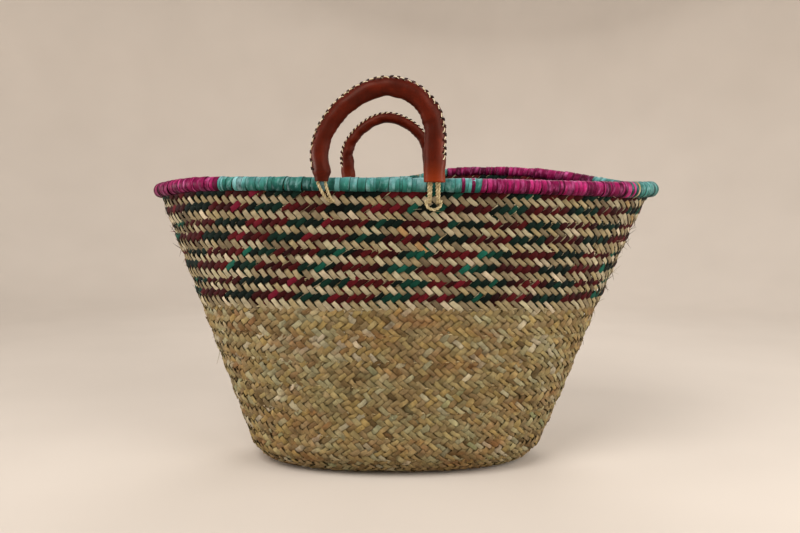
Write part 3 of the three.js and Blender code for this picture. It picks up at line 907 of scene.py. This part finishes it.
def add_turns(bundle, random, middles, widths, tones, uneven, lift=0.0):
    """Turns of leaf strip at lengths round the roll. Each overlaps the next and has painted light on top and
    painted shade underneath.
    """
    count = len(widths)
    around = np.radians(np.linspace(*TURN_ANGLES, TURN_STEPS))
    slant = random.normal(0.25, 0.15, count) * np.maximum(widths, 0.005)
    places = middles[:, None] + slant[:, None] * (around - math.pi / 2) / math.pi
    degrees = np.interp(places / RIM_LENGTH % 1, RIM_SHARES, RIM_ANGLES)
    origin, along, up, out = wall_frame(degrees, np.full_like(degrees, MOUTH_LENGTH))
    radius = rim_radius(degrees) - TURN_SINK + lift + random.normal(0, uneven, (count, 1))
    radius = radius + random.normal(0, uneven / 3, places.shape)
    radius = np.maximum(radius, RIM_CORE_RADIUS + TURN_CORE_GAP)
    radial = turned(out, up, around)
    tilt = random.uniform(0.02, 0.08, (count, 1))
    across, normal = turned(along, radial, tilt), turned(radial, -along, tilt)
    half = np.broadcast_to(widths[:, None] * TURN_OVERLAP / 2, places.shape)
    # Painted light and shade: the tone is raised on the top of the roll and lowered underneath, as if lit
    # from above.
    painted_light_tones = np.clip(tones[:, None] + TURN_PAINTED_LIGHT * np.sin(around), 0, 1)
    bundle.add_ribbons(origin + radial * radius[..., None], across, normal, half, TURN_HALF_THICKNESS, painted_light_tones)


def strip_tones(random, count, first, last):
    """Tones of turns in a row: each strip of leaf makes a few turns."""
    tones = []
    while len(tones) < count:
        turns = random.integers(2, 7)
        strip_tone = random.uniform(-0.18, 0.18)
        tones.extend(random.normal(strip_tone, 0.16, turns))
    return np.clip(np.array(tones[:count]) + np.linspace(first, last, count), 0, 1)


def wound_rim(name, colour, start, end, turn_width, uneven, tones, seed):
    random = np.random.default_rng(seed)
    first = rim_length_at(start)
    length = (rim_length_at(end) - first) % RIM_LENGTH
    count = round(length / turn_width)
    least, most = 0.35, 2.2
    widths = np.clip(random.gamma(5.0, 0.2, count), least, most)
    widths *= length / widths.sum()
    middles = first + np.cumsum(widths) - widths / 2
    bundle = Bundle()
    add_turns(bundle, random, middles, widths, strip_tones(random, count, *tones), uneven)
    bundle.build(f"{name}_turns", RIM_MATERIALS[colour], name, f"{colour}_wrap")


def rim_stripes():
    random = np.random.default_rng(88)
    for i, (colour, degrees, *sizes) in enumerate(RIM_STRIPES):
        bundle = Bundle()
        middle, width, tone = np.array([[rim_length_at(degrees)], *([size] for size in sizes)])
        add_turns(bundle, random, middle, width, tone, uneven=0.0001, lift=0.0005)
        slot = "natural_plait" if colour == "straw" else f"{colour}_wrap"
        bundle.build(f"rim_stripe_{i + 1}", RIM_MATERIALS[colour], None, slot)


def rim():
    for i, (place, colour, start, turn_width, uneven, *tones) in enumerate(WRAPS):
        end = WRAPS[(i + 1) % len(WRAPS)][2]
        wound_rim(f"rim_wrap_{place}_{colour}", colour, start, end, turn_width, uneven, tones, 80 + i)
    rim_stripes()
    show_rope("rim_core")


# Handles

class Handle(SimpleNamespace):
    """A handle's sizes and its own directions: x along its hinge line, y into the basket, z up."""

    def __init__(self, **sizes):
        super().__init__(**sizes)
        self.body = f"{self.name}_handle"
        roll = RIM_FRONT_RADIUS if self.facing < 0 else RIM_BACK_RADIUS
        self.offset = roll + RIM_CLEARANCE + self.radius
        self.eye_spread = self.radius - LEATHER_THICKNESS - FIT - EYE_CORD / 2
        legs = []
        for side in (-1, 1):
            x = self.middle + side * HANDLE_WIDTH / 2
            angle = plan_angle_at_x(x, MOUTH_HALF_LENGTH, self.facing)
            legs.append(wall_frame(np.array(angle), np.array(MOUTH_LENGTH))[0])
        self.origin = (legs[0] + legs[1]) / 2
        along = unit(legs[1] - legs[0]) * -self.facing
        up = np.array([0.0, 0.0, 1.0])
        up = unit(up - along * up.dot(along))
        self.axes = np.array([along, np.cross(up, along), up])

    def turn(self, vectors):
        return vectors @ self.axes

    def place(self, points):
        return self.origin + self.turn(points)

    def width(self, along):
        """How wide the sleeve is in the arch's plane, as a share of its round."""
        return np.interp(along, self.width_places, self.width_shares)


def bezier(*corners):
    share = np.linspace(0, 1, 60)[:, None]
    first, second, third, last = np.array(corners)
    near, far = (1 - share) ** 3 * first, share**3 * last
    return near + 3 * (1 - share) ** 2 * share * second + 3 * (1 - share) * share**2 * third + far


def arch(handle, steps):
    """Points up one leg, over the arch and down the other, with the tangents there, in the handle's plane."""
    half, top = HANDLE_WIDTH / 2, handle.top
    apex = -handle.facing * handle.apex_shift
    first_leg, last_leg = handle.straight_legs
    first, last = handle.fullness
    bowed = (-half - handle.bow, first_leg + first * (top - first_leg))
    shoulder = (half, last_leg + last * (top - last_leg))
    rising = bezier((-half, first_leg), bowed, (apex - first * (half + apex), top), (apex, top))
    falling = bezier((apex, top), (apex + last * (half - apex), top), shoulder, (half, last_leg))
    line = np.concatenate([[[-half, LEATHER_END_HEIGHT]], rising, falling[1:], [[half, LEATHER_END_HEIGHT]]])
    lengths = lengths_along(line)
    places = np.asarray(steps) * lengths[-1]
    near = 0.0015
    tangent = unit(points_at(line, lengths, places + near) - points_at(line, lengths, places - near))
    return points_at(line, lengths, places), tangent, lengths[-1]


def arch_frames(handle, steps):
    """Middle of the handle's round, its directions away from the arch's middle and into the basket."""
    point, tangent, length = arch(handle, steps)
    flat = np.stack([point[:, 0], np.full(len(point), -handle.offset), point[:, 1]], -1)
    away = np.stack([-tangent[:, 1], np.zeros(len(point)), tangent[:, 0]], -1)
    inward = np.broadcast_to([0.0, 1.0, 0.0], away.shape)
    return handle.place(flat), handle.turn(away), handle.turn(inward), length


def leather_sleeve(handle):
    """A soft sleeve with a standing seam on the outer side, creases on the inner side and open ends."""
    radius = handle.radius
    random = np.random.default_rng(handle.seeds[0])
    body = np.linspace(0.004, 0.996, 120)
    first = np.array([0.03, 0.0015, 0.0, 0.0, 0.0015])
    steps = np.concatenate([first, body, 1 - first[::-1]])
    bore, rounded = radius - LEATHER_THICKNESS, LEATHER_END_ROUND
    ends = [bore, bore, bore + rounded, radius - rounded, radius - rounded / 6]
    radii = np.concatenate([ends, np.full(len(body), radius), ends[::-1]])
    origin, away, inward, length = arch_frames(handle, steps)
    sides = 40
    turn = (np.arange(sides) + 0.5) * 2 * math.pi / sides
    along = steps * length
    swell = np.zeros((len(steps), sides))
    for number in (0, 1, 1, 2, 2, 3):
        wave = along[:, None] * random.uniform(60, 420) + turn * number + random.uniform(0, 6)
        swell += random.uniform(0.00006, 0.00022) * np.sin(wave)
    bend = np.exp(-(((np.abs(steps - 0.5) - 0.24) / 0.13) ** 2))[:, None]
    inner_side = np.clip(-np.cos(turn), 0, 1) ** 2
    pleats = PLEAT_HEIGHT * bend * inner_side * np.sin(along[:, None] * 950 + 1.3 * np.sin(turn * 2))
    lip_width = 0.13
    lip = np.exp(-(((turn + math.pi) % (2 * math.pi) - math.pi) / lip_width) ** 2)
    outside = (radii > radius - LEATHER_THICKNESS / 2)[:, None]
    reach = radii[:, None] + outside * (swell + pleats + SEAM_LIP_HEIGHT * lip)
    wide = handle.width(along)[:, None, None]
    ring = turned(away[:, None] * wide, inward[:, None] * np.minimum(wide, 1), turn)
    # The leather turns more orange towards the end of the last leg.
    worn = np.clip((along - length + ORANGE_END_LENGTH) / ORANGE_END_LENGTH, 0, 1) * handle.worn
    bundle = Bundle()
    bundle.add((origin[:, None] + ring * reach[..., None])[None], worn)
    bundle.build(f"{handle.body}_sleeve", LEATHER, f"{handle.body}_leather", "leather", handle.body)


def sleeve_point(handle, along, length, angle, lift):
    """Points on the sleeve's face at places along it and angles from the seam, and the way out there."""
    origin, away, inward, _ = arch_frames(handle, along / length)
    wide = handle.width(along)[:, None]
    lip_width = 0.15
    reach = handle.radius + SEAM_LIP_HEIGHT * np.exp(-((angle / lip_width) ** 2)) + lift
    across = turned(away * wide, inward * np.minimum(wide, 1), angle)
    return origin + across * reach[:, None], turned(away, inward, angle)


def stitches(handle):
    """Dark lace whipped over the standing seam, with a cream thread aslant between its turns."""
    length = arch(handle, [0.0])[2]
    random = np.random.default_rng(handle.seeds[1])
    lace, thread = Bundle(), Bundle()
    over = np.linspace(-1, 1, 11)
    run = np.linspace(0, 1, 9)
    low, high = THREAD_ANGLES
    thread_lift = THREAD_LIFT - 2 * THREAD_LIFT * (2 * run - 1) ** 6
    for i in range(int((length - 2 * LACE_MARGIN) / STITCH_PITCH)):
        start = LACE_MARGIN + i * STITCH_PITCH + random.normal(0, STITCH_JITTER)
        reach = LACE_REACH * random.uniform(*LACE_UNEVEN)
        points, out = sleeve_point(handle, start + over * LACE_SLANT, length, over * reach, LACE_LIFT)
        across = unit(np.cross(np.gradient(points, axis=0), out))
        half = LACE_HALF_WIDTH * (1 - 0.5 * np.abs(over)) * random.uniform(*LACE_UNEVEN)
        tone = random.uniform(0, 1, 1)
        lace.add_ribbons(points[None], across[None], out[None], half[None], LACE_HALF_THICKNESS, tone)
        places = start + THREAD_START + run * THREAD_RUN
        for side in (-1, 1):
            angle = side * (low + (high - low) * run + random.normal(0, 0.05))
            points, _ = sleeve_point(handle, places, length, angle, thread_lift)
            radii = np.full((1, len(run)), THREAD_RADIUS)
            thread.add(round_sections(points[None], radii), random.uniform(0, 1, 1))
    lace.build(f"{handle.body}_whipping", DARK_LACE, f"{handle.body}_lacing", "lacing", handle.body)
    thread.build(f"{handle.body}_thread", CREAM_THREAD, None, "lacing", handle.body)


def eye_path(handle, side, slant, pinch):
    """One cord from the leather's end, round under the rim, through the wall and back."""
    reach, spread = handle.offset, handle.eye_spread
    sweep = math.radians(EYE_SWEEP)
    turn = np.linspace(0, sweep, 24)
    strand = np.stack([np.full(len(turn), -spread), -reach * np.cos(turn), -reach * np.sin(turn)], -1)
    share = np.minimum(turn / (math.pi / 2), 1)
    lean = share * slant
    strand[:, 0] *= 1 - pinch[0] - (pinch[1] - pinch[0]) * share
    top = [[-spread * (1 - pinch[0]), -reach, LEATHER_END_HEIGHT + EYE_POCKET - FIT]]
    onward = np.array([0, math.sin(sweep), -math.cos(sweep)])
    bend = np.linspace(math.pi, 0, 13)[1:-1]
    bight = strand[-1] + spread * np.sin(bend)[:, None] * onward
    bight[:, 0] = spread * (1 - pinch[1]) * np.cos(bend)
    mirrored = np.concatenate([top, strand])[::-1] * [-1, 1, 1]
    points = np.concatenate([top, strand, bight, mirrored]) + [side * HANDLE_WIDTH / 2, 0, 0]
    points[:, 0] += np.concatenate([[0], lean, np.full(len(bight), slant), lean[::-1], [0]])
    return handle.place(points)


def smooth_path(corners):
    """A Catmull-Rom curve through a few points."""
    corners = np.array(corners, float)
    ends = np.concatenate([[2 * corners[0] - corners[1]], corners, [2 * corners[-1] - corners[-2]]])
    share = np.linspace(0, 1, 12, endpoint=False)[:, None]
    spans = []
    for a, b, c, d in zip(ends, ends[1:], ends[2:], ends[3:]):
        cubic = -a + 3 * b - 3 * c + d
        square = 2 * a - 5 * b + 4 * c - d
        spans.append((2 * b + (c - a) * share + square * share**2 + cubic * share**3) / 2)
    return np.concatenate(spans + [corners[-1:]])


def lashing_path(handle, side):
    """A short loop of cord on the wall's outside that holds an eye down."""
    wide = handle.eye_spread + 0.0026
    half = [(wide, 0.0016, -0.0150), (wide, -0.0018, -0.0185), (wide * 0.75, -0.0024, -0.0225)]
    bottom = [(0.0, -0.0024, -0.0248)]
    mirrored = [(-x, y, z) for x, y, z in half]
    points = smooth_path(half + bottom + mirrored[::-1])
    return handle.place(points + [side * HANDLE_WIDTH / 2, 0, 0])


def cord_piece(name, paths, replaced=None, body="basket"):
    """A two-ply twisted cord along each path."""
    bundle = Bundle()
    for path in paths:
        plies = twisted_plies(resampled(path, PLY_OFFSET))
        bundle.add(round_sections(plies, np.full(plies.shape[:2], PLY_RADIUS)), np.array(PLY_TONES))
    bundle.build(name, TWINE, replaced, "twine", body)


def eyes(handle):
    for i, (label, side) in enumerate(zip(handle.eyes, (-1, 1))):
        name = f"{handle.name}_{label}"
        slant, pinches = handle.eye_slants[i], [handle.eye_pinches[i]]
        if handle.doubled[i]:
            pinches.append([pinch + share * (1 - pinch) for pinch, share in zip(pinches[0], INNER_STRAND)])
        paths = [eye_path(handle, side, slant, pinch) for pinch in pinches]
        cord_piece(f"{name}_eye_cord", paths, f"{name}_eye", handle.body)
        if handle.doubled[i]:
            cord_piece(f"{name}_lashing", [lashing_path(handle, side)])


def handles():
    for sizes in HANDLES:
        handle = Handle(**sizes)
        leather_sleeve(handle)
        stitches(handle)
        eyes(handle)
        show_rope(f"{handle.body}_core")


# Stage

def stage():
    curve = np.linspace(0, math.pi / 2, 12)
    radii = FLOOR_RADIUS + BACKDROP_CURVE * np.append(np.sin(curve), 1)
    heights = np.append(BACKDROP_CURVE * (1 - np.cos(curve)), BACKDROP_HEIGHT) - STAGE_DROP
    turns = np.arange(STAGE_SIDES) * 2 * math.pi / STAGE_SIDES
    points = [(0, 0, -STAGE_DROP)]
    for radius, height in zip(radii, heights):
        points += [(radius * math.cos(turn), radius * math.sin(turn), height) for turn in turns]
    index = np.arange(1, len(points)).reshape(len(radii), STAGE_SIDES)
    beside = np.roll(index, -1, 1)
    faces = [(0, a, b) for a, b in zip(index[0].tolist(), beside[0].tolist())]
    faces += np.stack([index[:-1], index[1:], beside[1:], beside[:-1]], -1).reshape(-1, 4).tolist()
    shader = Shader("stage_paper")
    clouds = shader.noise(shader.object_place(), (3, 3, 3), detail=2.0)
    colour = shader.ramp(clouds, [(0.3, "#c2b8ad"), (0.7, "#c7bdb2")])
    floor = add_mesh("stage_floor", points, faces, shader.finished(Base_Color=colour, Roughness=0.9))


def lights():
    for name, (place, aim, size, power, colour, spread) in LIGHTS.items():
        data = bpy.data.lights.new(name, "AREA")
        data.shape = "DISK"
        data.size, data.energy, data.color, data.spread = size, power, colour, math.radians(spread)
        light = add_object(name, data)
        light.location = place
        x, y, z = np.array(aim) - np.array(place)
        light.rotation_euler = Euler((math.atan2(math.hypot(x, y), -z), 0, math.atan2(-x, y)))
    world = bpy.data.worlds.new("studio")
    world.use_nodes = True
    sky = world.node_tree.nodes["Background"].inputs
    sky["Color"].default_value = (1.0, 0.99, 0.97, 1)
    sky["Strength"].default_value = 0.28
    bpy.context.scene.world = world


def camera():
    data = bpy.data.cameras.new("camera")
    data.lens = CAMERA_LENS
    data.sensor_width = CAMERA_SENSOR
    eye = add_object("camera", data)
    eye.location = CAMERA_PLACE
    eye.rotation_euler = Euler((math.radians(90 - CAMERA_PITCH_DOWN), 0, 0))
    bpy.context.scene.camera = eye
    bpy.context.scene.view_settings.view_transform = "Standard"


camera()
stage()
lights()
base()
wall()
loose_ends("pale_loose_ends", PALE_STRAW, count=100, thickness=0.00034, seed=7)
loose_ends("dark_loose_ends", WINE_LEAF, count=45, thickness=0.00045, seed=8)
rim()
handles()
